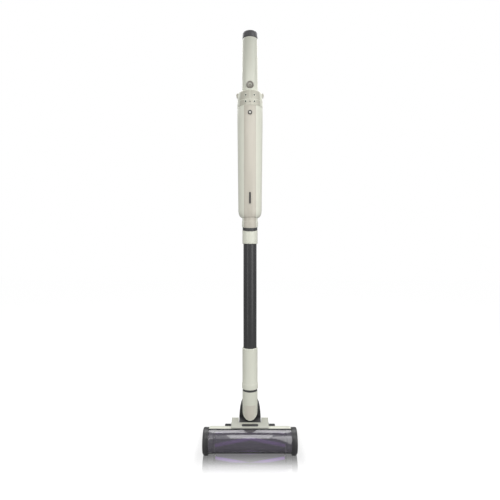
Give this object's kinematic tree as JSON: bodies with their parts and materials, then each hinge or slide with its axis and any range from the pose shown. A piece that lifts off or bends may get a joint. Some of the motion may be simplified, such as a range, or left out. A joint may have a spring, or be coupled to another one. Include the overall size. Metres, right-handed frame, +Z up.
{
  "type": "cordless stick vacuum",
  "caption": "Slim cordless stick vacuum: round handle with a stick battery, tapered hand vacuum, woven-look wand, swivelling neck and a floor head with a soft roller behind a clear window.",
  "frame": {"origin": "on the floor, at the centre of the bounding box's bottom face; the wand's axis passes through it", "axes": "+Z up along the wand, -Y towards the front of the floor head, +X along the floor head to the user's right as seen from the front"},
  "size_m": [0.2214, 0.1392, 1.02],
  "materials": {
    "cream": "satin cream plastic with a fine moulded grain",
    "champagne": "smooth champagne plastic with a soft metallic sheen",
    "collar_band": "satin beige plastic",
    "grey_plastic": "dark grey plastic with a metallic fleck",
    "dark_plastic": "near-black moulded plastic",
    "rubber": "matt black rubber",
    "clear_window": "clear polycarbonate with a faint violet tint",
    "nap": "dense violet-grey nylon nap",
    "carbon": "diagonal twill weave under satin lacquer",
    "steel": "turned steel",
    "board": "green solder mask",
    "foam": "open-cell filter foam",
    "cell": "shrink-wrapped steel can"
  },
  "bodies": {
    "nozzle": {"base_chassis": "dark_plastic", "deck_cover": "cream", "top_cover": "cream", "chamber_shell": "cream", "roller_window": "clear_window", "window_seal": "rubber", "front_bumper": "rubber", "end_cap_left": "grey_plastic", "end_cap_right": "grey_plastic", "bearing_carrier_left": "grey_plastic", "bearing_carrier_right": "grey_plastic", "roller_motor": "steel", "suction_duct": "dark_plastic", "pitch_pin_left": "steel", "pitch_pin_right": "steel", "wheel_axle_left": "steel", "wheel_axle_right": "steel"},
    "rotor": {"motor_rotor": "steel"},
    "roller": {"roller_core": "grey_plastic", "roller_brush": "nap"},
    "wheel_left": {"rear_wheel_left": "rubber"},
    "wheel_right": {"rear_wheel_right": "rubber"},
    "yoke": {"yoke_frame": "dark_plastic", "roll_sleeve": "steel"},
    "neck": {"neck_shell": "cream", "neck_pivot_cover": "champagne", "neck_spigot": "grey_plastic", "neck_seal_ring": "rubber"},
    "wand": {"lower_sleeve": "cream", "wand_tube": "carbon", "upper_collar": "cream", "wand_seal_ring": "rubber"},
    "nozzle_release": {"nozzle_release_button": "grey_plastic"},
    "hand_vac": {"body_shell_left": "cream", "body_shell_right": "cream", "front_strip": "champagne", "nose_duct": "cream", "collar_frame": "cream", "collar_plate_upper": "collar_band", "collar_plate_lower": "collar_band", "handle_shell": "cream", "indicator_lens": "clear_window", "inlet_tube": "dark_plastic", "filter_cone": "steel", "foam_filter": "foam", "motor_bracket": "dark_plastic", "vac_motor": "steel", "control_board": "board", "door_hinge_pin": "steel"},
    "wand_release": {"wand_release_button": "grey_plastic"},
    "dust_door": {"dust_door": "cream"},
    "power_button": {"power_button": "champagne"},
    "battery": {"battery_case": "dark_plastic", "battery_cell_1": "cell", "battery_cell_2": "cell", "battery_cell_3": "cell", "battery_cap": "grey_plastic"},
    "latch_left": {"battery_latch_left": "collar_band"},
    "latch_right": {"battery_latch_right": "collar_band"},
    "impeller": {"impeller": "steel"}
  },
  "joints": [
    {"name": "neck_pitch", "type": "hinge", "parent": "nozzle", "child": "yoke", "pos_m": [0, 0.0225, 0.03], "axis": [-1, 0, 0], "range_deg": [0, 80]},
    {"name": "neck_roll", "type": "hinge", "parent": "yoke", "child": "neck", "pos_m": [0, 0, 0.0867], "axis": [0, 1, 0], "range_deg": [-40, 40]},
    {"name": "wand_lift", "type": "slide", "parent": "neck", "child": "wand", "axis": [0, 0, 1], "range_m": [0, 0.07]},
    {"name": "hand_vac_lift", "type": "slide", "parent": "wand", "child": "hand_vac", "axis": [0, 0, 1], "range_m": [0, 0.05]},
    {"name": "battery_slide", "type": "slide", "parent": "hand_vac", "child": "battery", "axis": [0, 0, 1], "range_m": [0, 0.22]},
    {"name": "dust_door_swing", "type": "hinge", "parent": "hand_vac", "child": "dust_door", "pos_m": [0, 0.03816, 0.5955], "axis": [-1, 0, 0], "range_deg": [0, 95]},
    {"name": "power_press", "type": "slide", "parent": "hand_vac", "child": "power_button", "axis": [0, 1, 0], "range_m": [0, 0.0011], "stiffness_N_per_m": 1500, "springref_m": -0.0005},
    {"name": "latch_left_press", "type": "slide", "parent": "hand_vac", "child": "latch_left", "axis": [1, 0, 0], "range_m": [0, 0.002], "stiffness_N_per_m": 1500, "springref_m": -0.0005},
    {"name": "latch_right_press", "type": "slide", "parent": "hand_vac", "child": "latch_right", "axis": [-1, 0, 0], "range_m": [0, 0.002], "stiffness_N_per_m": 1500, "springref_m": -0.0005},
    {"name": "wand_release_press", "type": "slide", "parent": "hand_vac", "child": "wand_release", "axis": [0, -1, 0], "range_m": [0, 0.001], "stiffness_N_per_m": 1500, "springref_m": -0.0005},
    {"name": "nozzle_release_press", "type": "slide", "parent": "wand", "child": "nozzle_release", "axis": [0, -1, 0], "range_m": [0, 0.001], "stiffness_N_per_m": 1500, "springref_m": -0.0005},
    {"name": "impeller_spin", "type": "hinge", "parent": "hand_vac", "child": "impeller", "pos_m": [0, 0.00812, 0.7], "axis": [0, 0, 1], "continuous": true},
    {"name": "roller_spin", "type": "hinge", "parent": "nozzle", "child": "roller", "pos_m": [0, -0.04, 0.0275], "axis": [1, 0, 0], "continuous": true},
    {"name": "rotor_spin", "type": "hinge", "parent": "nozzle", "child": "rotor", "pos_m": [0, -0.04, 0.0275], "axis": [1, 0, 0], "continuous": true},
    {"name": "wheel_left_spin", "type": "hinge", "parent": "nozzle", "child": "wheel_left", "pos_m": [0, 0.0555, 0.0137], "axis": [1, 0, 0], "continuous": true},
    {"name": "wheel_right_spin", "type": "hinge", "parent": "nozzle", "child": "wheel_right", "pos_m": [0, 0.0555, 0.0137], "axis": [1, 0, 0], "continuous": true}
  ],
  "couplings": [
    {"joint": "rotor_spin", "follows": "roller_spin", "ratio": 4}
  ]
}
